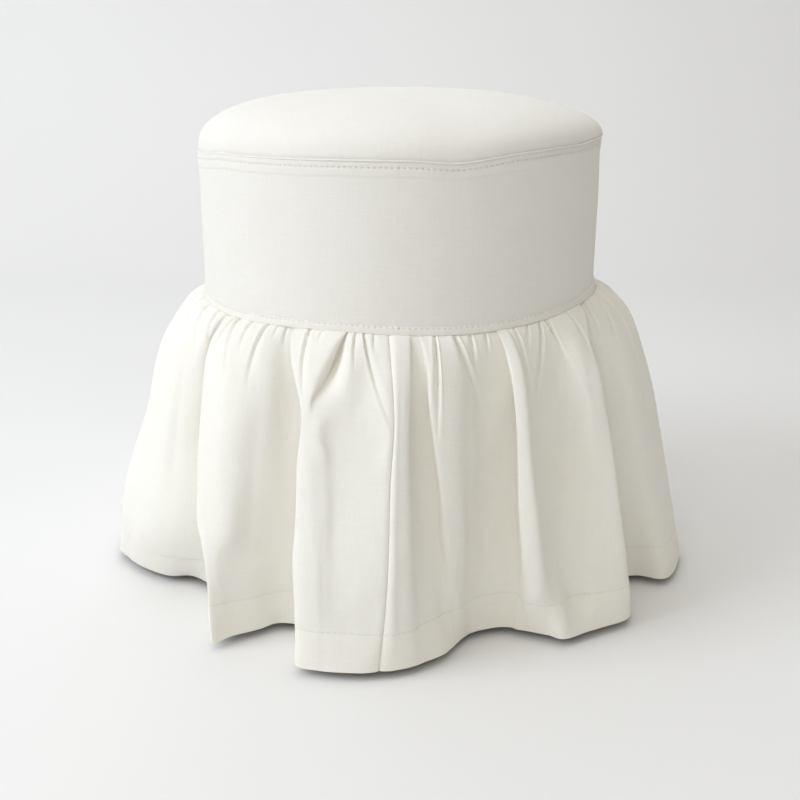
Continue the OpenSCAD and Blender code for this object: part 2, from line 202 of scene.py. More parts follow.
def makeRoom():
    bend = room["bend"]
    profile = [(room["frontY"], 0.0)]
    for i in range(room["steps"] + 1):
        turn = math.pi / 2 * i / room["steps"]
        profile.append((room["wallY"] - bend + bend * math.sin(turn), bend - bend * math.cos(turn)))
    profile.append((room["wallY"], room["wallTop"]))
    points = [(x, y, z) for x in (-room["halfWidth"], room["halfWidth"]) for y, z in profile]
    count = len(profile)
    sweep = addMesh("studioSweep", points, [(i, i + count, i + count + 1, i + 1) for i in range(count - 1)])

    material, tree = startMaterial("studioPaper", room["roughness"])
    place = objectPlace(tree)
    up = rangeOf(tree, axesOf(tree, place)["Z"], 0.0, bend)
    mottle = rangeOf(tree, noiseOf(tree, place, 3.0), 0.35, 0.65)
    plain = mixOf(tree, up, room["floorColour"], room["wallColour"])
    paler = tuple(c * room["paler"] for c in room["floorColour"])
    colour = mixOf(tree, times(tree, mottle, 0.3), plain, paler)
    grain = bumpOf(tree, noiseOf(tree, place, 900.0), 0.2 * mm, 0.2)
    sweep.data.materials.append(finished(material, colour, grain))


lightAim = (0, 0, 0.2)
lights = {
    "key": {"place": (-2.8, -1.08, 2.2), "size": 2.1, "power": 61, "colour": (0.94, 0.99, 1.09)},
    "front": {"place": (-0.5, -2.4, 1.9), "size": 1.8, "power": 16.5, "colour": (1.0, 0.985, 0.94)},
    "above": {"place": (-0.2, 0.2, 2.4), "size": 2.4, "power": 16.5, "colour": (0.97, 1.0, 1.06)},
}
surround = {"strength": 0.4, "colour": (1.0, 0.942, 0.815), "seenColour": (0.83, 0.83, 0.825)}


def makeLights():
    for name, look in lights.items():
        data = bpy.data.lights.new(name + "Light", "AREA")
        data.shape = "SQUARE"
        data.size = look["size"]
        data.energy = look["power"]
        data.color = look["colour"]
        lamp = addObject(name + "Light", data)
        lamp.location = look["place"]
        lamp.rotation_euler = (Vector(lightAim) - Vector(look["place"])).to_track_quat("-Z", "Y").to_euler()
    world = bpy.data.worlds.new("studio")
    world.use_nodes = True
    tree = world.node_tree
    lit = tree.nodes["Background"]
    lit.inputs["Color"].default_value = (*surround["colour"], 1)
    lit.inputs["Strength"].default_value = surround["strength"]
    seen = makeNode(tree, "Background", {"Color": (*surround["seenColour"], 1), "Strength": 1.0})
    path = makeNode(tree, "LightPath").outputs
    direct = mathOf(tree, "MAXIMUM", path["Is Camera Ray"], path["Is Glossy Ray"])
    direct = mathOf(tree, "MAXIMUM", direct, path["Is Transmission Ray"])
    both = makeNode(tree, "MixShader", {0: direct, 1: lit.outputs[0], 2: seen.outputs[0]})
    tree.links.new(both.outputs[0], tree.nodes["World Output"].inputs["Surface"])
    bpy.context.scene.world = world
    bpy.context.scene.view_settings.view_transform = "Standard"


makeRoom()
makeLights()
print("camera, floor and lights are set")


# Cloth, thread, wood and metal finishes

weaves = {
    # glow is how much light passes through the thin cloth
    "coverCloth": {
        "colour": (0.885, 0.873, 0.835), "shade": (0.81, 0.793, 0.74), "pitch": 0.72 * mm,
        "threadBump": 0.10 * mm, "slubBump": 0.16 * mm, "roughness": 0.88, "sheen": 0.12, "glow": 0.15,
    },
    "skirtCloth": {
        "colour": (0.945, 0.924, 0.855), "shade": (0.88, 0.853, 0.77), "pitch": 0.76 * mm,
        "threadBump": 0.10 * mm, "slubBump": 0.18 * mm, "roughness": 0.9, "sheen": 0.12, "glow": 0.45,
    },
    "calicoCloth": {
        "colour": (0.80, 0.74, 0.62), "shade": (0.70, 0.63, 0.50), "pitch": 0.6 * mm,
        "threadBump": 0.08 * mm, "slubBump": 0.12 * mm, "roughness": 0.92, "sheen": 0.08, "glow": 0.1,
    },
}
glowColour = (1.0, 0.86, 0.66)

stitch = {
    "pitch": 4.6 * mm, "length": 3.3 * mm, "thick": 0.42 * mm, "rings": 6, "sides": 6,
    # the needle holes get painted shade: the shade share darkens each hole towards the dark hole colour
    "hole": 0.55 * mm, "pull": 2.0 * mm, "shade": 0.4, "holeShadeColour": (0.42, 0.40, 0.35),
}


def stitchHoles(tree):
    # needle holes between the stitches, from each point's place along and across its row of stitches; the
    # hole mask paints shade into each hole and, with the pull, presses the cloth in
    row = axesOf(tree, pointPlace(tree, "stitchPlace"))
    turns = plus(tree, mathOf(tree, "DIVIDE", row["X"], stitch["pitch"]), 0.5)
    along = times(tree, mathOf(tree, "SUBTRACT", mathOf(tree, "FRACT", turns), 0.5), stitch["pitch"])
    square = plus(tree, mathOf(tree, "POWER", along, 2.0), mathOf(tree, "POWER", row["Y"], 2.0))
    away = mathOf(tree, "SQRT", square)
    hole = times(tree, rangeOf(tree, away, stitch["hole"] * 0.4, stitch["hole"], 1.0, 0.0), row["Z"])
    pull = times(tree, rangeOf(tree, away, 0.0, stitch["pull"], 1.0, 0.0), row["Z"])
    return hole, pull


def weaveMaterial(name):
    look = weaves[name]
    material, tree = startMaterial(
        name, look["roughness"], Sheen_Weight=look["sheen"], Sheen_Roughness=0.5, Specular_IOR_Level=0.25,
        Subsurface_Weight=look["glow"], Subsurface_Radius=glowColour, Subsurface_Scale=2.2 * mm)
    cloth = pointPlace(tree, "clothPlace")
    threads = scaled(tree, cloth, (1 / look["pitch"],) * 3)
    across = axesOf(tree, threads)
    warp = mathOf(tree, "ABSOLUTE", mathOf(tree, "SINE", times(tree, across["X"], math.pi)))
    weft = mathOf(tree, "ABSOLUTE", mathOf(tree, "SINE", times(tree, across["Y"], math.pi)))
    over = makeNode(tree, "TexChecker", {"Vector": threads, "Scale": 1.0}).outputs["Fac"]
    under = mathOf(tree, "SUBTRACT", 1.0, over)
    weave = plus(tree, times(tree, warp, over), times(tree, weft, under))
    slubUp = noiseOf(tree, scaled(tree, threads, (1, 0.045, 1)), 0.75, 3.0, 0.6)
    slubAcross = noiseOf(tree, scaled(tree, threads, (0.045, 1, 1)), 0.75, 3.0, 0.6)
    slubs = times(tree, plus(tree, slubUp, slubAcross), 0.5)
    fuzz = noiseOf(tree, threads, 1.7, 2.0, 0.6)
    cloudy = noiseOf(tree, cloth, 26.0, 3.0)
    tone = rangeOf(tree, slubs, 0.30, 0.66, 0.55, 0.0)
    tone = plus(tree, tone, rangeOf(tree, cloudy, 0.35, 0.7, 0.10, 0.0))
    tone = plus(tree, tone, rangeOf(tree, fuzz, 0.3, 0.7, 0.12, 0.0))
    hole, pull = stitchHoles(tree)
    woven = mixOf(tree, tone, look["colour"], look["shade"])
    # painted shade: the needle holes are darkened towards a dark tan, standing in for the shade inside each
    # hole
    colour = mixOf(tree, times(tree, hole, stitch["shade"]), woven, stitch["holeShadeColour"])
    normal = bumpOf(tree, slubs, look["slubBump"])
    normal = bumpOf(tree, plus(tree, hole, times(tree, pull, 0.5)), -0.5 * mm, 1.0, normal)
    return finished(material, colour, bumpOf(tree, weave, look["threadBump"], 0.8, normal))


def threadMaterial():
    material, tree = startMaterial("sewingThread", 0.7, Sheen_Weight=0.1)
    inputs = {"Vector": objectPlace(tree), "Scale": 900.0, "Distortion": 1.5}
    twist = makeNode(tree, "TexWave", inputs).outputs["Fac"]
    colour = mixOf(tree, twist, (0.80, 0.785, 0.74), (0.9, 0.89, 0.86))
    return finished(material, colour, bumpOf(tree, twist, 0.05 * mm, 0.6))


def fluffMaterial(name, colour, shade, scale, bump):
    material, tree = startMaterial(name, 0.95)
    place = objectPlace(tree)
    cells = cellsOf(tree, place, scale)
    tone = times(tree, mathOf(tree, "SUBTRACT", 1.0, cells), noiseOf(tree, place, scale / 12, 3.0))
    return finished(material, mixOf(tree, tone, colour, shade), bumpOf(tree, cells, bump, 0.7))


def woodMaterial(name, pale, dark, ringScale, roughness, coat):
    # the grain runs up the piece
    material, tree = startMaterial(name, roughness, Coat_Weight=coat, Coat_Roughness=0.35)
    along = scaled(tree, objectPlace(tree), (1, 1, 0.06))
    wobble = noiseOf(tree, along, 22.0, 3.0)
    inputs = {"Vector": along, "Scale": ringScale, "Distortion": 5.0, "Detail": 2.0, "Detail Scale": 1.2}
    rings = makeNode(tree, "TexWave", inputs).outputs["Fac"]
    fleck = noiseOf(tree, scaled(tree, along, (9, 9, 3)), 60.0)
    tone = times(tree, rings, rangeOf(tree, wobble, 0.2, 0.8, 0.4, 1.0))
    tone = plus(tree, times(tree, tone, 0.7), rangeOf(tree, fleck, 0.55, 0.75, 0.0, 0.3))
    return finished(material, mixOf(tree, tone, pale, dark), bumpOf(tree, fleck, 0.08 * mm, 0.5),
                    rangeOf(tree, wobble, 0.2, 0.8, roughness - 0.06, roughness + 0.08))


def plyMaterial():
    # two plies of 1.5 mm repeat up the board, with the grain turned in every other one
    material, tree = startMaterial("birchPly", 0.62)
    place = objectPlace(tree)
    layer = mathOf(tree, "FRACT", times(tree, axesOf(tree, place)["Z"], 1 / (3.0 * mm)))
    turned = mathOf(tree, "GREATER_THAN", layer, 0.5)
    middle = mathOf(tree, "ABSOLUTE", mathOf(tree, "SUBTRACT", layer, 0.5))
    glue = rangeOf(tree, middle, 0.0, 0.05, 1.0, 0.0)
    grainX = noiseOf(tree, scaled(tree, place, (4, 90, 90)), 3.0, 4.0, 0.6)
    grainY = noiseOf(tree, scaled(tree, place, (90, 4, 90)), 3.0, 4.0, 0.6)
    grain = mixOf(tree, turned, grainX, grainY)
    pale = mixOf(tree, grain, (0.80, 0.68, 0.50), (0.66, 0.50, 0.32))
    tone = mixOf(tree, times(tree, turned, 0.35), pale, (0.50, 0.36, 0.22))
    colour = mixOf(tree, times(tree, glue, 0.6), tone, (0.24, 0.15, 0.09))
    return finished(material, colour, bumpOf(tree, grain, 0.1 * mm, 0.5))


def metalMaterial(name, bright, dull, roughness):
    material, tree = startMaterial(name, roughness, Metallic=1.0)
    place = objectPlace(tree)
    smear = noiseOf(tree, place, 140.0, 4.0, 0.6)
    scratch = noiseOf(tree, scaled(tree, place, (1, 1, 14)), 700.0)
    return finished(material, mixOf(tree, smear, bright, dull), bumpOf(tree, scratch, 0.03 * mm, 0.5),
                    rangeOf(tree, smear, 0.3, 0.7, roughness - 0.08, roughness + 0.14))


def nylonMaterial():
    material, tree = startMaterial("glideNylon", 0.5)
    place = objectPlace(tree)
    grain = noiseOf(tree, place, 1500.0, 3.0)
    worn = rangeOf(tree, noiseOf(tree, place, 90.0, 4.0), 0.5, 0.7)
    colour = mixOf(tree, worn, (0.10, 0.10, 0.10), (0.17, 0.165, 0.16))
    return finished(material, colour, bumpOf(tree, grain, 0.05 * mm, 0.5),
                    rangeOf(tree, grain, 0.3, 0.7, 0.42, 0.58))


def dustClothMaterial():
    material, tree = startMaterial("dustCloth", 0.9, Sheen_Weight=0.2)
    place = objectPlace(tree)
    fibres = noiseOf(tree, place, 650.0, 4.0, 0.7)
    colour = mixOf(tree, fibres, (0.022, 0.022, 0.024), (0.075, 0.075, 0.08))
    return finished(material, colour, bumpOf(tree, cellsOf(tree, place, 900.0), 0.08 * mm, 0.7))


finish = {name: weaveMaterial(name) for name in weaves}
finish.update({
    "thread": threadMaterial(),
    "wadding": fluffMaterial("polyesterWadding", (0.93, 0.93, 0.925), (0.82, 0.82, 0.82), 420.0, 0.6 * mm),
    "foam": fluffMaterial("upholsteryFoam", (0.90, 0.85, 0.68), (0.74, 0.68, 0.50), 700.0, 0.5 * mm),
    "dustCloth": dustClothMaterial(),
    "beech": woodMaterial("turnedBeech", (0.70, 0.52, 0.35), (0.52, 0.35, 0.21), 16.0, 0.42, 0.15),
    "pine": woodMaterial("planedPine", (0.82, 0.68, 0.47), (0.64, 0.44, 0.25), 26.0, 0.65, 0.0),
    "ply": plyMaterial(),
    "zinc": metalMaterial("brightZinc", (0.78, 0.79, 0.80), (0.58, 0.59, 0.61), 0.32),
    "yellowZinc": metalMaterial("yellowZinc", (0.78, 0.66, 0.36), (0.60, 0.52, 0.36), 0.34),
    "nylon": nylonMaterial(),
})
print("finishes are mixed:", len(finish))


# Mesh helpers

def hermite(xs, ys, slopes, at):
    k = np.clip(np.searchsorted(xs, at, side="right") - 1, 0, len(xs) - 2)
    step = xs[k + 1] - xs[k]
    t = (at - xs[k]) / step
    return ((2 * t**3 - 3 * t**2 + 1) * ys[k] + (t**3 - 2 * t**2 + t) * step * slopes[k]
            + (3 * t**2 - 2 * t**3) * ys[k + 1] + (t**3 - t**2) * step * slopes[k + 1])


def smoothAround(angles, values, at):
    # a smooth closed line through the values given at those angles, read at the angles wanted
    angles, values = np.array(angles, float), np.array(values, float)
    a = np.concatenate([angles[-2:] - 360, angles, angles[:2] + 360])
    v = np.concatenate([values[-2:], values, values[:2]])
    at = (np.asarray(at, float) - angles[0]) % 360 + angles[0]
    return hermite(a, v, np.gradient(v, a), at)


def easeTo(x, start, end):
    t = np.clip((x - start) / (end - start), 0, 1)
    return t * t * (3 - 2 * t)


def hump(x, wide):
    return np.exp(-((x / wide) ** 2))


def runAlong(line):
    # the distance gone at each point of a line
    return np.concatenate([[0], np.cumsum(np.linalg.norm(np.diff(line, axis=0), axis=1))])


def patchNoise(rng, u, v, uPatch, vPatch, uWrap=None):
    # soft random relief over a sheet, about -1 to 1, with patches of the size given
    columns = max(3, round(uWrap / uPatch)) if uWrap else int(np.ptp(u) / uPatch) + 4
    rows = int(np.ptp(v) / vPatch) + 4
    table = rng.uniform(-1, 1, (columns, rows))
    x = u / uWrap * columns if uWrap else (u - u.min()) / uPatch
    y = (v - v.min()) / vPatch
    i, j = np.floor(x).astype(int), np.floor(y).astype(int)
    fx, fy = x - i, y - j
    fx, fy = fx * fx * (3 - 2 * fx), fy * fy * (3 - 2 * fy)

    def corner(a, b):
        return table[(i + a) % columns, np.minimum(j + b, rows - 1)]

    return ((corner(0, 0) * (1 - fx) + corner(1, 0) * fx) * (1 - fy)
            + (corner(0, 1) * (1 - fx) + corner(1, 1) * fx) * fy)


def roundPoints(r, angle, z):
    turn = np.radians(angle)
    return np.stack([r * np.sin(turn), -r * np.cos(turn), z * np.ones_like(r * turn)], -1)


def gridNormals(grid):
    # unit normals that point away from the axis or up
    side = np.roll(grid, -1, 1) - np.roll(grid, 1, 1)
    normal = np.cross(side, np.gradient(grid, axis=0))
    normal /= np.maximum(np.linalg.norm(normal, axis=2, keepdims=True), 1e-12)
    middle = grid.mean((0, 1)) * (0, 0, 1)
    return -normal if ((grid - middle) * normal).sum() < 0 else normal


def gridFaces(rows, columns, around=True, first=0, flip=False):
    i = np.arange(rows - 1)[:, None]
    j = np.arange(columns if around else columns - 1)[None, :]
    k = (j + 1) % columns
    quads = np.stack([first + i * columns + j, first + i * columns + k,
                      first + (i + 1) * columns + k, first + (i + 1) * columns + j], -1).reshape(-1, 4)
    return quads[:, ::-1] if flip else quads


def markPoints(piece, name, spots):
    layer = piece.data.attributes.new(name, "FLOAT_VECTOR", "POINT")
    layer.data.foreach_set("vector", np.ascontiguousarray(spots, np.float32).ravel())


def placesOf(along, across, clear=1.0):
    # each point's place along and across the cloth or a row of stitches; for stitches, the third value sets
    # how strongly the needle holes get painted shade and are pressed in
    return np.stack([along + across * 0, across + along * 0, np.full_like(along + across, clear)], -1)


def buildShell(name, outer, inner, places, around=True, pole=False, stitched=None):
    # a thin closed piece between two grids of points, with the cloth's own place at each point
    rows, columns = outer.shape[:2]
    count = rows * columns
    rowsDown = outer[-1, :, 2].mean() < outer[0, :, 2].mean() and not pole
    faces = [gridFaces(rows, columns, around, 0, rowsDown),
             gridFaces(rows, columns, around, count, not rowsDown)]
    ring = np.arange(columns if around else columns - 1)
    nextOne = (ring + 1) % columns

    def rim(a, b, flip):
        quads = np.stack([a, b, b + count, a + count], -1)
        return quads[:, ::-1] if flip else quads

    faces.append(rim(ring, nextOne, not rowsDown))
    last = (rows - 1) * columns
    if not pole:
        faces.append(rim(last + ring, last + nextOne, rowsDown))
    if not around:
        up = np.arange(rows - 1) * columns
        faces.append(rim(up, up + columns, rowsDown))
        faces.append(rim(up + columns - 1, up + 2 * columns - 1, not rowsDown))
    points = np.concatenate([outer.reshape(-1, 3), inner.reshape(-1, 3)])
    spots = np.concatenate([places.reshape(-1, 3)] * 2)
    faces = np.concatenate(faces).tolist()
    if pole:
        tops = len(points)
        points = np.concatenate([points, [outer[-1].mean(0), inner[-1].mean(0)]])
        spots = np.concatenate([spots, [places[-1].mean(0)] * 2])
        faces += [(int(last + a), int(last + b), tops) for a, b in zip(ring, nextOne)]
        faces += [(int(count + last + b), int(count + last + a), tops + 1) for a, b in zip(ring, nextOne)]
    piece = addMesh(name, points.tolist(), faces)
    piece.data.set_sharp_from_angle(angle=math.radians(60))
    markPoints(piece, "clothPlace", spots)
    if stitched is not None:
        markPoints(piece, "stitchPlace", np.concatenate([stitched.reshape(-1, 3)] * 2))
    return piece


def dress(piece, material, slot, *replaced):
    piece.data.materials.clear()
    piece.data.materials.append(finish[material])
    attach(piece, "root")
    if replaced:
        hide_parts(*replaced)
    return piece


def sewRow(name, line, normals, closed=True):
    # short threads, one after another, along a line of points on the cloth
    if closed:
        line, normals = (np.concatenate([part, part[:1]]) for part in (line, normals))
    gone = runAlong(line)
    count = int(round(2 * math.pi * drumR / stitch["pitch"])) if closed else int(gone[-1] / stitch["pitch"])
    pitch = gone[-1] / count if closed else stitch["pitch"]
    rings, sides, thick = stitch["rings"], stitch["sides"], stitch["thick"]
    share = np.linspace(-0.5, 0.5, rings)
    at = (np.arange(count)[:, None] + 0.5) * pitch + share * stitch["length"]
    centre, up = (np.stack([np.interp(at, gone, part[:, c]) for c in range(3)], -1)
                  for part in (line, normals))
    up /= np.linalg.norm(up, axis=2, keepdims=True)
    along = np.gradient(centre, axis=1)
    along /= np.linalg.norm(along, axis=2, keepdims=True)
    side = np.cross(up, along)
    arch = np.sqrt(np.maximum(0, 1 - (2 * share) ** 2))[:, None]
    centre = centre + up * ((arch - 0.55) * 0.7 * thick)
    turn = (2 * math.pi * np.arange(sides) / sides)[:, None]
    across = side[:, :, None] * np.cos(turn) + up[:, :, None] * np.sin(turn)
    points = centre[:, :, None] + across * thick / 2 * (0.45 + 0.55 * arch)[:, None]
    body = gridFaces(rings, sides)
    caps = np.stack([np.arange(sides)[::-1], (rings - 1) * sides + np.arange(sides)])
    faces = []
    for first in np.arange(count) * rings * sides:
        faces += (body + first).tolist() + (caps + first).tolist()
    return addMesh(name, points.reshape(-1, 3).tolist(), faces)


# The fitted cover: crown, raised seam, side band and waist band

cover = {
    "columns": 1200,
    "thick": 1.2 * mm,
    # how far the crown's seam wanders up or down, in mm, at angles from the front
    "seamAngles": [-150, -120, -90, -72, -56, -30, -8, 4, 17, 22, 30, 42, 58, 75, 95, 125, 160, 190],
    "seamRise": [-5, -7, -6.5, -4, 0, 1.2, 2.3, 1.8, -0.4, 1.4, 4.4, 6.2, 7.6, 9.5, 9, 6, 2, -2],
    "waistAngles": [-140, -100, -70, -49, -30, -15, 0, 15, 27, 44, 58, 75, 100, 150, 190],
    "waistRise": [0, 1, 1.4, 0.2, 2, 2.6, 1, -0.2, 0.6, 3.4, 6, 7, 6, 2, 0],
    # how square the crown's shoulder is, at angles from the front
    "fullAngles": [-135, -90, -20, 45, 92, 135, 180],
    "fullness": [2.7, 2.75, 2.45, 2.3, 2.15, 2.6, 2.6],
    "crownRows": 150,
    "crownLump": 0.9 * mm,
    "crownRise": 1.0 * mm,  # the crown stands this much over the frame's
    "crownDip": 0.8 * mm,  # the crown's cloth dips into the seam
    "crownPucker": 0.16 * mm,
    "domeAllowance": 46 * mm,  # what the crown's cut needs for the dome and its seam
    "bandAllowance": 20 * mm,
    "ridge": 1.5 * mm,  # height of the raised seam
    "ridgeOut": 1.1 * mm,
    "ridgeSides": 14,
    "allowance": 12 * mm,  # the seam allowance that shows through under the ridge
    "allowanceOut": 0.55 * mm,
    "seamStitch": 5.2 * mm,  # stitch row under the ridge
    "groove": 0.32 * mm,  # how deep that row is drawn in
    "tuck": 0.5 * mm,
    "gatherPull": 0.3 * mm,
    "inset": 0.5 * mm,  # the side band lies this far inside the drum's radius
    "bandOut": 0.9 * mm,
    "bandHeight": (bandZ - waistZ) * 0.85,
    "bandLean": 0.9 * mm,  # the waist band stands out more towards its lower edge
    "bandStitch": 0.8 * mm,  # stitch row under the waist band's upper edge
    "bandGroove": 0.3 * mm,
    "bandPucker": 0.22 * mm,
    "sway": 0.7 * mm,
    "seed": 11,
}
coverAngles = np.arange(cover["columns"]) * 360 / cover["columns"]
coverRng = np.random.default_rng(cover["seed"])
seamLine = ridgeZ + smoothAround(cover["seamAngles"], cover["seamRise"], coverAngles) * mm
waistLine = waistZ + smoothAround(cover["waistAngles"], cover["waistRise"], coverAngles) * mm
seamLine += patchNoise(coverRng, coverAngles, coverAngles * 0, 9, 1, 360) * 0.35 * mm
bandTop = waistLine + cover["bandHeight"]


def anglesFor(rows):
    return np.broadcast_to(coverAngles, (rows, cover["columns"]))


def softDrum(angles, z):
    # how far the padded drum stands out from a true cylinder
    girth = drumR * np.radians(angles)
    wrap = 2 * math.pi * drumR
    rng = np.random.default_rng(cover["seed"] + 1)
    wide = patchNoise(rng, girth, z, 150 * mm, 70 * mm, wrap)
    fine = patchNoise(rng, girth, z, 42 * mm, 30 * mm, wrap)
    return cover["sway"] * (0.75 * wide + 0.22 * fine)


def makeCrown():
    rows = cover["crownRows"]
    turns = (np.arange(rows) / rows) ** 1.25 * math.pi / 2
    angle = anglesFor(rows)
    seam = np.broadcast_to(seamLine, angle.shape)
    power = 2 / smoothAround(cover["fullAngles"], cover["fullness"], angle)
    rng = np.random.default_rng(cover["seed"] + 2)
    reach = np.cos(turns)[:, None] ** power
    climb = np.sin(turns)[:, None] ** power
    x = reach * np.sin(np.radians(angle))
    y = -reach * np.cos(np.radians(angle))
    lumps = patchNoise(rng, x + 1, y + 1, 0.45, 0.45) * 0.9
    lumps += patchNoise(rng, x + 1, y + 1, 0.16, 0.16) * 0.25
    dip = hump(climb, 0.045) * cover["crownDip"]
    pucker = patchNoise(rng, angle, climb, 2.6, 0.5, 360) * np.exp(-climb / 0.05) * cover["crownPucker"]
    r = (drumR + softDrum(angle, seam) - dip + pucker) * reach
    z = seam + (topZ - seam - lumps * cover["crownLump"] * climb + cover["crownRise"] * climb) * climb
    outer = roundPoints(r, angle, z)
    inner = outer - gridNormals(outer) * cover["thick"] * 0.8
    # towards the edge the cloth keeps its own length, so the weave isn't drawn out down the side
    down = runAlong(outer[::-1, 0])[::-1]
    piece = buildShell("crownPanel", outer, inner, roundPoints(down[:, None], angle, 0), pole=True)
    dress(piece, "coverCloth", "cover_cloth", "crown_panel")


def makeRidge():
    # the crown's seam stands up as a narrow roll all the way round
    sides = cover["ridgeSides"]
    turn = np.arange(sides + 1)[:, None] / sides * 2 * math.pi
    angle = anglesFor(sides + 1)
    rng = np.random.default_rng(cover["seed"] + 3)
    uneven = 1 + 0.16 * patchNoise(rng, angle, angle * 0, 1.7, 1, 360)
    bulge = softDrum(angle, np.broadcast_to(seamLine, angle.shape))
    r = drumR + bulge - 0.35 * mm + np.cos(turn) * cover["ridgeOut"] * uneven
    z = seamLine + np.sin(turn) * cover["ridge"] / 2 * uneven
    faces = gridFaces(sides + 1, cover["columns"]) % (sides * cover["columns"])
    piece = addMesh("crownRidge", roundPoints(r, angle, z)[:-1].reshape(-1, 3).tolist(), faces.tolist())
    angle, turn = angle[:-1], turn[:-1]
    markPoints(piece, "clothPlace", placesOf(np.radians(angle) * drumR, turn * cover["ridgeOut"], 0.0))
    dress(piece, "coverCloth", "cover_cloth", "crown_piping")


def bandRelief(angle, z):
    # relief of the side band: seam allowance, stitch grooves and the pull of the gathers
    below = seamLine - z
    edge = easeTo(below, cover["allowance"] - 1.2 * mm, cover["allowance"] + 0.8 * mm)
    raised = cover["allowanceOut"] * (1 - edge)
    groove = hump(below - cover["seamStitch"], 1.0 * mm) * cover["groove"]
    tucked = hump(below, 1.3 * mm) * cover["tuck"]
    rng = np.random.default_rng(cover["seed"] + 4)
    fade = np.exp(-np.abs(z - waistLine - cover["bandHeight"]) / (9 * mm))
    pull = patchNoise(rng, angle, z, 3.0, 14 * mm, 360) * fade * cover["gatherPull"]
    return raised - groove - tucked + pull


def coverPlaces(angle, z, stitchZ):
    # the weave's places, and the stitches' places in a row at the height given; the drum's girth is a little
    # longer than a whole number of stitches, so the row is drawn in to keep step with the threads
    girth = np.radians(angle) * drumR
    whole = 2 * math.pi * drumR
    drawn = whole / (round(whole / stitch["pitch"]) * stitch["pitch"])
    return np.stack([girth, z, z * 0], -1), placesOf(girth / drawn, z - stitchZ)


def makeSideBand():
    # rows lie closer together at the seam and at the waist
    runs = ((0, 16, 36), (18, 106, 45), (108, 120, 16))
    above = np.concatenate([np.linspace(*run) for run in runs])[:, None] / 120
    angle = anglesFor(len(above))
    z = seamLine - above * (seamLine - (bandTop - 1.5 * mm))
    r = drumR - cover["inset"] + softDrum(angle, z) + bandRelief(angle, z)
    places, holes = coverPlaces(angle, z, seamLine - cover["seamStitch"])
    inner = roundPoints(r - cover["thick"] * 0.7, angle, z)
    piece = buildShell("sideBand", roundPoints(r, angle, z), inner, places, stitched=holes)
    dress(piece, "coverCloth", "cover_cloth", "side_band")


def makeWaistBand():
    across = np.linspace(0, 1, 26)[:, None]
    angle = anglesFor(len(across))
    z = waistLine + cover["bandHeight"] * (1 - across)
    rounding = np.minimum(1, np.sqrt(np.clip(1 - (2 * across - 1) ** 8, 0, 1)))
    groove = hump(z - bandTop + cover["bandStitch"], 0.8 * mm) * cover["bandGroove"]
    rng = np.random.default_rng(cover["seed"] + 5)
    pucker = patchNoise(rng, angle, z, 2.2, 30 * mm, 360) * cover["bandPucker"] * (0.4 + across)
    r = drumR + softDrum(angle, z) - cover["inset"] + (cover["bandOut"] + cover["inset"]) * rounding
    r += pucker - groove + cover["bandLean"] * across
    inner = roundPoints(r * 0 + drumR - 1.6 * mm, angle, z)
    places, holes = coverPlaces(angle, z, bandTop - cover["bandStitch"])
    piece = buildShell("waistBand", roundPoints(r, angle, z), inner, places, stitched=holes)
    dress(piece, "coverCloth", "cover_cloth", "waist_band")


def sewCover():
    out = roundPoints(np.ones_like(coverAngles), coverAngles, 0)
    crownOut = cover["allowanceOut"] - cover["inset"] - 0.22 * mm  # each row is sunk a little into the cloth
    waistOut = cover["bandOut"] - 0.25 * mm
    for name, z, stand in (("crownStitches", seamLine - cover["seamStitch"], crownOut),
                           ("waistStitches", bandTop - cover["bandStitch"], waistOut)):
        r = drumR + softDrum(coverAngles, z) + stand
        dress(sewRow(name, roundPoints(r, coverAngles, z), out), "thread", "cover_cloth")


makeCrown()
makeRidge()
makeSideBand()
makeWaistBand()
sewCover()
print("cover is fitted and sewn")


# The gathered skirt

skirt = {
    "thick": 1.1 * mm,
    "crestPuff": 36, "valleyPuff": 8, "puffLength": 18, "crestFall": 58, "valleyFall": 24,  # mm
    "lift": 4.0,  # how far a crest rises above the seam before it falls, mm
    "liftDepth": 7,  # how far below the seam it rises most, mm
    "easing": 6,  # rounds of easing of the loft between its fold lines
    "waves": ((46, 85, 1.4), (19, 34, 0.5)),  # width, length and depth, mm
    "creases": ((34, 58, 0.55), (21, 30, 0.3)),  # soft creases left from folding and washing
    "crumple": 1.9,
    "hem": 32 * mm,
    "hemGroove": 0.07, "hemStep": 0.12, "hemPucker": 0.22,  # mm
    "hemThicker": 0.4,  # how much thicker the turned-up hem is, as a share of the cloth
    "seamGroove": 1.9, "seamFold": 0.6,  # mm
    "seamAllowance": 20 * mm,  # for the two seams of a panel
    "allowance": 24 * mm,  # for the hem's turning and the waist seam
    # each panel is cut narrower towards the waist, so it keeps this share of its full rectangle
    "taper": 0.86,
    "frontColumns": 30,  # mesh columns from one fold line to the next
    "backColumns": 14,
    "rows": 120,
    "seed": 5,
}
skirtDrop = waistZ - hemZ
hemShare = 1 - skirt["hem"] / skirtDrop
backSeam = 180  # the back seam's angle

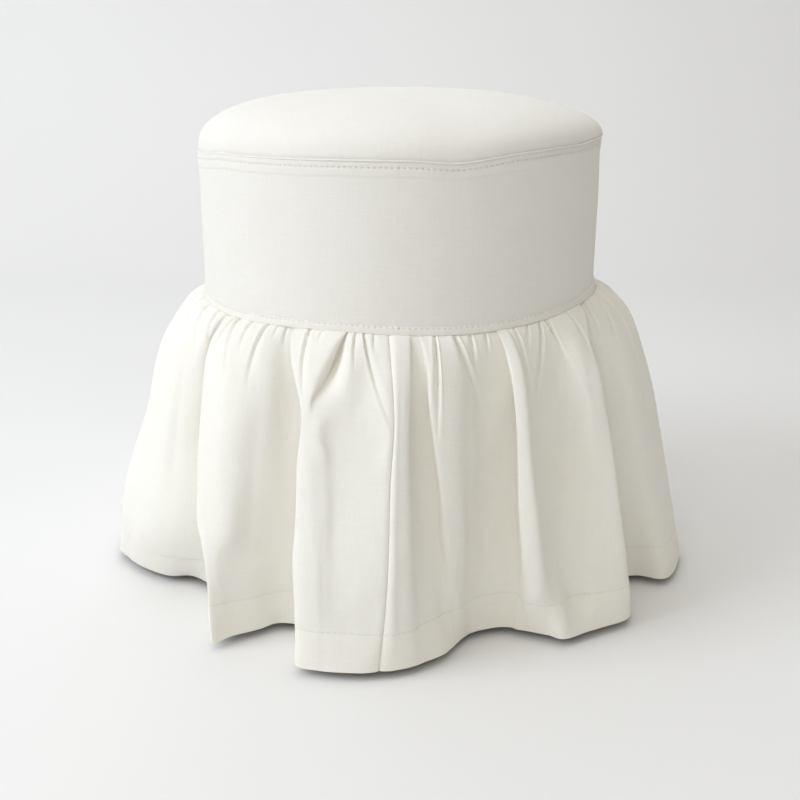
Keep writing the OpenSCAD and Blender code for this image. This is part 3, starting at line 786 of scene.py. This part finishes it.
# Each fold line runs from the waist to the hem. It has its angle from the front, in degrees, and its height
# between the valleys (0) and the crests (1), at these shares of the way down.
foldLevels = [0, 0.07, 0.18, 0.40, 0.70, 1.0]
frontLines = [
    ("side valley", [-108, -108, -108, -108, -108, -108], [0, 0, 0, 0, 0, 0]),
    ("left shoulder", [-97, -97, -96, -95, -94, -93], [0.8, 0.82, 0.9, 0.96, 1.1, 1.04]),
    ("left crest", [-84, -84, -83, -82, -82, -84], [1.0, 0.93, 1, 1.02, 1.19, 1.06]),
    ("left bright crest", [-69, -67.5, -64.5, -62.5, -63.5, -77], [0.97, 0.96, 0.98, 1.0, 1.0, 0.87]),
    ("left flank", [-57.6, -57.3, -56.5, -55, -55, -67], [0.84, 0.85, 0.84, 0.83, 0.8, 0.42]),
    ("left foot", [-53.6, -53, -51.2, -48.7, -46.8, -61], [0.42, 0.41, 0.42, 0.37, 0.34, -0.02]),
    ("left valley", [-52, -51.3, -49.2, -46, -42.3, -50], [0.1, 0.08, 0.08, 0.05, 0, -0.1]),
    ("second edge", [-50, -49.6, -46.9, -43.6, -38.5, -35.8], [0.8, 0.85, 0.9, 0.95, 1, 0.89]),
    ("second crest", [-43, -42, -39, -37.6, -36.4, -34.7], [0.9, 0.97, 1, 1, 0.97, 0.64]),
    ("second flank", [-36, -34, -31, -30.8, -31.5, -32.2], [0.8, 0.78, 0.7, 0.66, 0.54, 0.3]),
    ("second foot", [-30, -28.6, -26, -26, -26.5, -27.3], [0.3, 0.24, 0.14, 0.16, 0.08, -0.1]),
    ("second valley", [-28.5, -26, -21.8, -21.5, -21.3, -21], [0, 0, -0.05, -0.1, -0.15, -0.15]),
    ("front wall", [-27.9, -25.8, -21.1, -20.5, -20.0, -17.8], [0.4, 0.4, 0.4, 0.42, 0.44, 0.42]),
    ("front edge", [-27, -23.3, -20.2, -19.1, -17.1, -16.6], [0.7, 0.85, 0.92, 0.96, 1, 0.88]),
    ("front lobe", [-15.4, -17.3, -18.3, -17.0, -15.3, -14.2], [0.92, 0.95, 0.97, 0.99, 1, 0.88]),
    ("front pocket", [-13.2, -14.8, -16.6, -14.6, -13.3, -13], [0.35, 0.22, 0.86, 0.95, 0.96, 0.88]),
    ("front bump", [-11.2, -10.7, -11.3, -11.5, -11, -10], [0.8, 0.85, 0.83, 0.87, 0.92, 0.86]),
    ("front face", [-7.5, -7, -7, -7, -7, -7], [0.72, 0.74, 0.78, 0.9, 0.94, 0.84]),
    ("front seam", [-2.6, -1.8, -1.0, -1.6, -2.1, -3.5], [0.85, 0.88, 0.95, 1.0, 0.98, 0.79]),
    ("strip face", [0.4, 0.3, 0.2, -0.1, -0.1, 0], [0.88, 0.9, 0.95, 0.98, 0.94, 0.73]),
    ("strip edge", [2.2, 2.0, 1.8, 1.4, 1.7, 2.4], [0.84, 0.86, 0.9, 0.93, 0.87, 0.66]),
    ("strip wall", [2.7, 2.6, 2.5, 2.3, 3.2, 5.0], [0.72, 0.7, 0.66, 0.62, 0.6, 0.54]),
    ("deep fold", [3.5, 3.5, 3.6, 4.0, 6.0, 8.5], [0.6, 0.55, 0.46, 0.38, 0.4, 0.4]),
    ("fold floor", [4.9, 5.7, 6.0, 7.1, 8.8, 11], [0.56, 0.48, 0.38, 0.31, 0.3, 0.25]),
    ("thin ridge", [5.8, 6.8, 7.1, 8.7, 10.8, 13], [0.74, 0.78, 0.76, 0.64, 0.42, 0.12]),
    ("short bump", [12.6, 12.0, 11.6, 11.4, 12.4, 14.5], [0.6, 0.66, 0.68, 0.6, 0.4, 0.03]),
    ("bump side", [16, 16, 16, 15.8, 16, 17], [0.4, 0.4, 0.38, 0.3, 0.15, -0.05]),
    ("wide valley", [20, 20.5, 22, 22.5, 22, 21.5], [0.35, 0.22, 0.1, 0.02, -0.02, -0.1]),
    ("main foot", [24.6, 26.4, 27.4, 27.8, 28, 26], [0.3, 0.1, 0.06, 0.07, 0.08, -0.02]),
    ("main wall", [25.2, 26.2, 26.7, 26.9, 27.3, 27.6], [0.52, 0.4, 0.36, 0.34, 0.3, 0.1]),
    ("main edge", [25.6, 25.4, 25.1, 24.7, 25.6, 29.2], [0.76, 0.75, 0.74, 0.72, 0.62, 0.22]),
    ("main ridge", [27.5, 27.5, 27.2, 26.9, 28, 31.7], [0.86, 0.87, 0.87, 0.86, 0.78, 0.42]),
    ("main back", [29.6, 29.8, 30, 30, 31, 34.8], [0.6, 0.6, 0.62, 0.62, 0.62, 0.65]),
    ("hollow", [38, 39.6, 40.2, 40.2, 36.2, 37.5], [0.45, 0.36, 0.31, 0.3, 0.47, 0.66]),
    ("right face", [50, 46.4, 45, 44.8, 42.6, 41], [0.82, 0.85, 0.86, 0.82, 0.79, 0.69]),
    ("right edge", [56.5, 50, 47.8, 47.5, 47.0, 48.2], [0.88, 0.92, 1, 1.04, 1.03, 0.83]),
    ("right turn", [58.6, 52, 50, 50, 50, 52.6], [0.4, 0.4, 0.42, 0.46, 0.56, 0.7]),
    ("right valley", [60.6, 54.4, 53.2, 54.2, 55.6, 58], [0, -0.08, -0.14, -0.16, -0.16, -0.1]),
    ("side rise", [63.8, 58.8, 58.2, 59.6, 62.6, 66.5], [0.62, 0.64, 0.64, 0.6, 0.54, 0.42]),
    ("side crest", [70.5, 68.5, 68, 69.5, 70.5, 71], [0.95, 0.97, 1.0, 1.04, 1.0, 0.96]),
    ("side face", [80, 80, 80.5, 81, 81, 81], [1.3, 1.2, 1.05, 1.09, 1.09, 1.04]),
    ("side flank", [89, 89, 89.5, 90, 90, 90], [1.2, 1.1, 0.8, 0.66, 0.62, 0.62]),
]
# Round the back the folds go on at the same size: angle at the waist and at the hem, height at each
backLines = [
    (97, 96, 0.7, -0.1), (102.5, 103, 0.95, 0.6), (106, 107.5, 0.97, 1.0), (113, 114, 1.0, 0.97),
    (120, 119.5, 0.72, 0.66), (125, 124, 0.25, 0.2), (131, 130.5, 0.0, -0.05), (138.5, 140.5, 0.45, 0.62),
    (143, 144, 0.92, 1.0), (151, 151, 1.0, 0.92), (158, 156.5, 0.8, 0.6), (163, 161, 0.3, 0.12),
    (168, 167, 0.0, -0.05), (174, 174.5, 0.55, 0.5), (backSeam, 180, 0.95, 0.92), (188, 187.5, 1.0, 1.0),
    (194, 193, 0.75, 0.7), (199, 198, 0.25, 0.25), (204, 203.5, 0.0, 0.0), (210.5, 212, 0.5, 0.55),
    (216, 217.5, 0.95, 1.0), (224, 224, 0.93, 0.9), (232, 231, 1.0, 0.95), (239, 237.5, 0.6, 0.5),
    (245, 243, 0.2, 0.15),
]
# Small gathers under the waist: angle at the seam, angle and share where it ends, depth and width in mm
frontGathers = [
    (-84, -71, 0.09, 3.2, 2.2), (-75.8, -63, 0.09, 3.8, 2.2), (-70, -60, 0.05, 2.6, 1.8),
    (-65.6, -56.9, 0.1, 4.0, 2.2), (-58.6, -52, 0.1, 4.0, 2.0), (-49.2, -48, 0.1, 3.6, 1.8),
    (-47.7, -40.8, 0.13, 4.6, 1.9), (-42, -39.4, 0.07, 3.6, 1.8), (-36.3, -34.5, 0.15, 4.6, 2.0),
    (-33, -32, 0.04, 2.4, 1.4), (-30.4, -29.4, 0.05, 3.0, 1.6), (-23.4, -20.1, 0.16, 4.4, 1.9),
    (-19.8, -19.2, 0.04, 2.2, 1.3), (-11.1, -9.9, 0.08, 3.8, 1.8), (-9.1, -1.8, 0.23, 3.8, 1.8),
    (-6.5, -5.9, 0.045, 3.0, 1.3), (9.0, 7.8, 0.26, 5.0, 1.7), (14.1, 19.0, 0.21, 5.4, 2.4),
    (18.4, 18.2, 0.09, 3.8, 1.8), (22.5, 22.2, 0.06, 3.0, 1.6), (30.8, 30.4, 0.16, 3.4, 1.6),
    (35.6, 32.6, 0.06, 3.2, 1.5), (39.7, 32.5, 0.2, 4.6, 2.0), (41.5, 44.2, 0.24, 4.2, 1.6),
    (42.9, 40.9, 0.07, 3.0, 1.4), (50.5, 48.5, 0.1, 3.4, 1.6), (62.5, 57.5, 0.1, 3.8, 1.8),
    (69.5, 62.5, 0.12, 3.8, 2.0), (72.0, 66.5, 0.5, 3.6, 2.6), (77, 73, 0.3, 3.0, 2.4),
    (81, 79, 0.08, 3.2, 1.8),
]


def allLines():
    angles = [line[1] for line in frontLines]
    heights = [line[2] for line in frontLines]
    rng = np.random.default_rng(skirt["seed"])
    share = np.array(foldLevels)
    for waistAngle, hemAngle, waistHeight, hemHeight in backLines:
        sway = rng.uniform(-1, 1) * np.sin(share * math.pi * rng.uniform(0.8, 1.6)) * 1.2
        if waistAngle == backSeam:  # the seam hangs straighter
            sway = sway * 0.3
        angles.append(waistAngle + (hemAngle - waistAngle) * share**1.3 + sway)
        heights.append(waistHeight + (hemHeight - waistHeight) * share)
    return np.array(angles, float), np.array(heights, float)


def downLevels(table, shares):
    levels = np.array(foldLevels)
    slopes = np.gradient(table, levels, axis=1)
    return np.array([hermite(levels, row, slope, shares) for row, slope in zip(table, slopes)])


def closedCurve(points, samples):
    # centripetal spline through the points of each row, as a closed loop
    p0, p1 = np.roll(points, 1, 1), points
    p2, p3 = np.roll(points, -1, 1), np.roll(points, -2, 1)

    def knot(a, b):
        return np.sqrt(np.maximum(np.linalg.norm(b - a, axis=2), 1e-6))[:, :, None, None]

    t1 = knot(p0, p1)
    t2 = t1 + knot(p1, p2)
    t3 = t2 + knot(p2, p3)
    t = t1 + (t2 - t1) * (np.arange(samples) / samples)[None, None, :, None]
    p0, p1, p2, p3 = (p[:, :, None, :] for p in (p0, p1, p2, p3))
    a1 = p0 * (t1 - t) / t1 + p1 * t / t1
    a2 = p1 * (t2 - t) / (t2 - t1) + p2 * (t - t1) / (t2 - t1)
    a3 = p2 * (t3 - t) / (t3 - t2) + p3 * (t - t2) / (t3 - t2)
    b1 = a1 * (t2 - t) / t2 + a2 * t / t2
    b2 = a2 * (t3 - t) / (t3 - t1) + a3 * (t - t1) / (t3 - t1)
    return b1 * (t2 - t) / (t2 - t1) + b2 * (t - t1) / (t2 - t1)


def rowShares():
    # rows close together under the waist and at the hem's stitches
    coarse = np.linspace(0, 1, skirt["rows"]) ** 1.35
    nearHem = np.linspace(hemShare - 0.012, hemShare + 0.012, 13)
    return np.unique(np.round(np.concatenate([coarse, nearHem]), 4))


def gatherRelief(angle, radius, share, gathers):
    # the sum of the small pinched gathers, in mm, with a soft roll at each side of a crease
    relief = np.zeros_like(angle)
    for start, end, endShare, depth, width in gathers:
        gone = np.clip(share / endShare, 0, 1.3)
        off = ((angle - start - (end - start) * gone + 180) % 360 - 180) * math.pi / 180 * radius / mm
        fade = np.clip(1 - share / (endShare * 1.25), 0, 1) ** 1.2
        # each crease is steep on the side away from the middle
        steep = off * math.sin(math.radians(start)) > 0
        wide = width * (0.5 + 0.8 * gone) * np.where(steep, 0.55, 1.5)
        off = np.abs(off)
        roll = np.where(steep, 0.28, 0.2) * hump(off - 2.4 * wide, 1.3 * wide)
        relief += np.where(off < 6 * wide, (roll - np.exp(-off / wide)) * depth * fade, 0)
    return relief


def moreGathers():
    # the same kind of gathers round the sides and the back
    rng = np.random.default_rng(skirt["seed"] + 1)
    found, at = [], 82.0
    while at < 276:
        slant = rng.uniform(-5, 5)
        long = rng.uniform() < 0.35
        endShare = rng.uniform(0.15, 0.3) if long else rng.uniform(0.05, 0.12)
        found.append((at, at + slant, endShare, rng.uniform(3.0, 5.0), rng.uniform(2.0, 3.0)))
        at += rng.uniform(3.6, 7.5)
    return found


def shapeSkirt():
    angles, heights = allLines()
    shares = rowShares()
    angle, height = downLevels(angles, shares), downLevels(heights, shares)
    depth = shares * skirtDrop / mm
    puff = 1 - np.exp(-depth / skirt["puffLength"])
    crest = skirt["crestPuff"] * puff + skirt["crestFall"] * shares
    valley = skirt["valleyPuff"] * puff + skirt["valleyFall"] * shares
    start = (drumR - 0.9 * mm) / mm
    radius = (start + valley + (crest - valley) * height) * mm
    turn = np.radians(angle)
    flat = np.stack([radius * np.sin(turn), -radius * np.cos(turn), height], -1).transpose(1, 0, 2)
    front = closedCurve(flat, skirt["frontColumns"])[:, :len(frontLines)]
    back = closedCurve(flat, skirt["backColumns"])[:, len(frontLines):]
    curve = np.concatenate([part.reshape(len(shares), -1, 3) for part in (front, back)], 1)
    loft = curve[:, :, :2]
    around = np.degrees(np.arctan2(loft[..., 0], -loft[..., 1]))
    fromTop = depth / skirt["liftDepth"]
    rise = skirt["lift"] * mm * (fromTop * np.exp(1 - fromTop))[:, None] * np.clip(curve[..., 2], 0, 1)
    waist = smoothAround(cover["waistAngles"], cover["waistRise"], around) * mm * ((1 - shares) ** 3)[:, None]
    z = waistZ + 0.4 * mm - (shares * skirtDrop)[:, None] + rise + waist
    grid = np.concatenate([loft, z[..., None]], 2)
    for _ in range(skirt["easing"]):
        eased = (np.roll(grid, 1, 1) + np.roll(grid, -1, 1)) / 2
        grid[1:] += 0.5 * (eased[1:] - grid[1:])
        grid[1:-1, :, :2] += 0.25 * ((grid[2:, :, :2] + grid[:-2, :, :2]) / 2 - grid[1:-1, :, :2])
    return grid, shares


def clothLengths(grid):
    # the cloth's own coordinates: along the middle row, and down each column
    middle = grid[int(grid.shape[0] * 0.6)]
    u = runAlong(np.concatenate([middle, middle[:1]]))
    v = np.zeros(grid.shape[:2])
    v[1:] = np.cumsum(np.linalg.norm(np.diff(grid, axis=0), axis=2), axis=0)
    return u[:-1], v, u[-1]


def skirtRelief(grid, share, u, v, wrap, seamColumns):
    # how far the cloth stands out from the loft, in mm
    around = np.broadcast_to(u, v.shape)
    radius = np.hypot(grid[..., 0], grid[..., 1])
    angle = np.degrees(np.arctan2(grid[..., 0], -grid[..., 1]))
    held = 1 - np.exp(-share * skirtDrop / (2.2 * mm))
    relief = gatherRelief(angle, radius, share, frontGathers + moreGathers()) * held
    rng = np.random.default_rng(skirt["seed"] + 2)
    free = easeTo(share, 0.02, 0.2)
    for wide, long, deep in skirt["waves"]:
        relief += patchNoise(rng, around, v, wide * mm, long * mm, wrap) * deep * free
    turns = 2 * math.pi * around / wrap
    swing = 26 * mm * np.sin(7 * turns) + 17 * mm * np.sin(19 * turns + 1)
    for wide, long, deep in skirt["creases"]:
        crumple = np.sqrt(patchNoise(rng, around, v + swing, wide * mm, long * mm, wrap) ** 2 + 0.05)
        relief += (0.5 - crumple) * skirt["crumple"] * deep * free
    toHem = (share - hemShare) * skirtDrop
    relief -= hump(toHem, 1.1 * mm) * skirt["hemGroove"]
    relief += easeTo(toHem, -0.5 * mm, 1.5 * mm) * skirt["hemStep"]
    relief += patchNoise(rng, around, v, 11 * mm, 300 * mm, wrap) * hump(toHem, 9 * mm) * skirt["hemPucker"]
    for column in seamColumns:
        off = (around - u[column] + wrap / 2) % wrap - wrap / 2
        relief -= np.exp(-np.abs(off) / (1.5 * mm)) * skirt["seamGroove"] * held
        relief += hump(off - 4.5 * mm, 3.0 * mm) * skirt["seamFold"] * held
    return relief


def makeSkirt():
    grid, shares = shapeSkirt()
    u, v, wrap = clothLengths(grid)
    share = np.broadcast_to(shares[:, None], v.shape)
    seam = [line[0] for line in frontLines].index("front seam") * skirt["frontColumns"]
    back = len(frontLines) * skirt["frontColumns"]
    back += [line[0] for line in backLines].index(backSeam) * skirt["backColumns"]
    relief = skirtRelief(grid, share, u, v, wrap, (seam, back))
    outer = grid + gridNormals(grid) * relief[..., None] * mm
    normal = gridNormals(outer)
    toHem = (share - hemShare) * skirtDrop
    thick = skirt["thick"] * (1 + skirt["hemThicker"] * easeTo(toHem, -0.2 * mm, 1.0 * mm))
    inner = outer - normal * thick[..., None]
    places = np.stack([np.broadcast_to(u, v.shape), -v, v * 0], -1)
    count = grid.shape[1]
    hemRow = int(np.argmin(np.abs(shares - hemShare)))
    panels = (("skirtPanelRight", "skirt_panel_right", np.arange(seam, back + 1)),
              ("skirtPanelLeft", "skirt_panel_left", np.arange(back, seam + count + 1)))
    for name, replaced, span in panels:
        past = span >= count  # columns beyond the grid's start, where the cloth goes on
        span = span % count
        # the hem's needle holes get weaker painted shade and are pressed in less
        holes = placesOf(runAlong(outer[hemRow, span])[None, :], toHem[:, span], 0.4)
        spot = places[:, span].copy()
        spot[:, past, 0] += wrap
        piece = buildShell(name, outer[:, span], inner[:, span], spot, around=False, stitched=holes)
        dress(piece, "skirtCloth", "skirt_cloth", replaced)
        facing = normal[hemRow, span]
        line = outer[hemRow, span] + facing * 0.1 * mm
        stitches = sewRow(name + "HemStitches", line, facing, closed=False)
        dress(stitches, "thread", "skirt_cloth")


makeSkirt()
print("skirt is gathered and hung")


# Padding and under-cloths inside

padding = {
    "foamSway": 0.0006,  # how uneven each piece is, as a share of its radius
    "waddingSway": 0.0012,
    "clothSway": 0.0008,
    "wallGap": 0.3 * mm,
    "edge": 8 * mm,  # the seat pad's upper edge is drawn in by this
    "waddingThick": 7.6 * mm,
    "calicoThick": 0.75 * mm,
    "lap": 10 * mm,  # the dust cover laps over the turned cloth
    "sink": 1.2 * mm,  # the padding's dome lies this much under the frame's
    "squareness": 2.1,
    "domeSteps": 30,
}
turnInR = high("dust_cover").x - padding["lap"]


def leanWithSeam(grid, angle):
    # the padding's shoulder lies as high or low as the crown's seam does there
    z = grid[..., 2]
    rise = smoothAround(cover["seamAngles"], cover["seamRise"], angle) * mm
    share = np.where(z < domeZ, np.clip((z - boardTopZ) / (domeZ - boardTopZ), 0, 1),
                     1 - np.clip((z - domeZ) / (topZ - domeZ), 0, 1))
    grid[..., 2] = z + np.minimum(rise, 0) * share - padding["sink"] * (z > domeZ)
    return grid


def turned(name, outerLine, innerLine, columns, sway, patch, seed, pole, dressing):
    # a round piece between two profiles, each a list of (radius, height), with a little unevenness
    angle = np.arange(columns) * 360 / columns
    rng = np.random.default_rng(seed)
    grids = []
    for line in (outerLine, innerLine):
        line = np.array(line, float)
        r, z, wide = np.broadcast_arrays(line[:, :1], line[:, 1:], angle)
        dent = patchNoise(rng, wide, z, *patch, 360)
        grids.append(leanWithSeam(roundPoints(r * (1 - sway * (0.5 + 0.5 * dent)), wide, z), wide))
    run = runAlong(np.array(outerLine, float))[:, None]
    places = placesOf(np.radians(angle) * padR, run, 0.0)
    return dress(buildShell(name, *grids, places, pole=pole), *dressing)


def wallLine(r, fromZ, toZ, steps, whole=False):
    return [(r, z) for z in np.linspace(fromZ, toZ, steps, endpoint=whole)]


def domeLine(edgeR, baseZ, crownZ, steps=padding["domeSteps"]):
    power = 2 / padding["squareness"]
    turns = np.linspace(0, 1, steps, endpoint=False) * math.pi / 2
    return [(edgeR * math.cos(t) ** power, baseZ + (crownZ - baseZ) * math.sin(t) ** power) for t in turns]


def makePadding():
    sway = padding["foamSway"]
    outerLine, innerLine = (wallLine(r, boardLowZ, boardTopZ, 12, True)
                            for r in (padR, high("drum_wall").x + padding["wallGap"]))
    side = turned("sidePad", outerLine, innerLine, 240, sway, (14.0, 0.02), 1, False,
                  ("foam", "foam", "side_foam"))

    edgeR = padR - padding["edge"]
    outerLine = wallLine(padR, boardTopZ, domeZ, 8) + [(edgeR + 6 * mm, domeZ)]
    outerLine += domeLine(edgeR, domeZ + 1 * mm, high("seat_foam").z, 26)[1:]
    innerLine = [(max(r - 20 * mm, 0.8 * mm), boardTopZ + 0.2 * mm) for r, _ in outerLine]
    seat = turned("seatPad", outerLine, innerLine, 240, sway, (16.0, 0.02), 2, True,
                  ("foam", "foam", "seat_foam"))

    top, thick = high("wadding").z, padding["waddingThick"]
    outerLine = domeLine(padR, domeZ, top)
    innerLine = domeLine(padR - thick, domeZ + 0.2 * mm, top - thick)
    layer = turned("waddingLayer", outerLine, innerLine, 240, padding["waddingSway"], (12.0, 0.015), 3, True,
                   ("wadding", "wadding", "wadding"))


def makeCalico():
    # turned in under the drum, up its side and over the dome
    bottom, top = low("calico_cover").z, high("calico_cover").z
    lines = []
    for inset in (0, padding["calicoThick"]):
        r = calicoR - inset
        rim = [(turnInR + (r - turnInR) * k / 6, bottom + inset) for k in range(6)]
        lines.append(rim + wallLine(r, bottom + inset, domeZ, 20) + domeLine(r, domeZ, top - inset))
    calico = turned("calicoCover", *lines, 360, padding["clothSway"], (8.0, 0.03), 4, True,
                    ("calicoCloth", "calico", "calico_cover"))


def makeFacing():
    bottom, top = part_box("waist_facing")
    outerLine = [(turnInR + (top.x - turnInR) * t, bottom.z) for t in np.linspace(0, 1, 14)]
    innerLine = [(r, top.z - 0.1 * mm) for r, _ in outerLine]
    piece = turned("waistFacing", outerLine, innerLine, 720, padding["clothSway"], (2.4, 0.02), 6, False,
                   ("coverCloth", "cover_cloth", "waist_facing"))


def makeDustCover():
    # a round of black cloth with a hole for each leg
    bottom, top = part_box("dust_cover")
    holeR = (high("leg_front_right").x - low("leg_front_right").x) / 2 + 1.5 * mm
    curve = bpy.data.curves.new("dustCover", "CURVE")
    curve.dimensions = "2D"
    curve.fill_mode = "BOTH"
    curve.extrude = (top.z - bottom.z) / 2
    spots = [(0, 0, top.x, 180)] + [(x * legX, y * legX, holeR, 64) for x in (-1, 1) for y in (-1, 1)]
    for x, y, r, count in spots:
        spline = curve.splines.new("POLY")
        spline.points.add(count - 1)
        spline.use_cyclic_u = True
        for k, point in enumerate(spline.points):
            turn = 2 * math.pi * k / count
            point.co = (x + r * math.cos(turn), y + r * math.sin(turn), 0, 1)
    outline = addObject("dustCoverOutline", curve)
    mesh = bpy.data.meshes.new_from_object(outline.evaluated_get(bpy.context.evaluated_depsgraph_get()))
    bpy.data.objects.remove(outline)
    work = bmesh.new()
    work.from_mesh(mesh)
    bmesh.ops.remove_doubles(work, verts=work.verts, dist=0.01 * mm)
    work.to_mesh(mesh)
    work.free()
    mesh.transform(Matrix.Translation((0, 0, (bottom.z + top.z) / 2)))
    piece = dress(addObject("dustCover", mesh), "dustCloth", "dust_cloth", "dust_cover")


makePadding()
makeCalico()
makeFacing()
makeDustCover()
print("padding and under-cloths are in")


# Wood, metal and nylon pieces keep their own shape and get a finish

hardware = {
    "beech": ["leg_front_left", "leg_front_right", "leg_back_left", "leg_back_right"],
    "ply": ["base_board", "seat_board", "drum_wall"],
    "pine": ["post_front", "post_right", "post_back", "post_left"],
    "zinc": ["hanger_bolts", "tee_nuts", "wall_pins", "cover_tacks"],
    "yellowZinc": ["seat_board_screws", "base_board_screws"],
    "nylon": ["leg_glides"],
}
for material, names in hardware.items():
    for name in names:
        mesh = nodes[name].data
        mesh.materials.clear()
        mesh.materials.append(finish[material])
print("frame and fittings are finished")
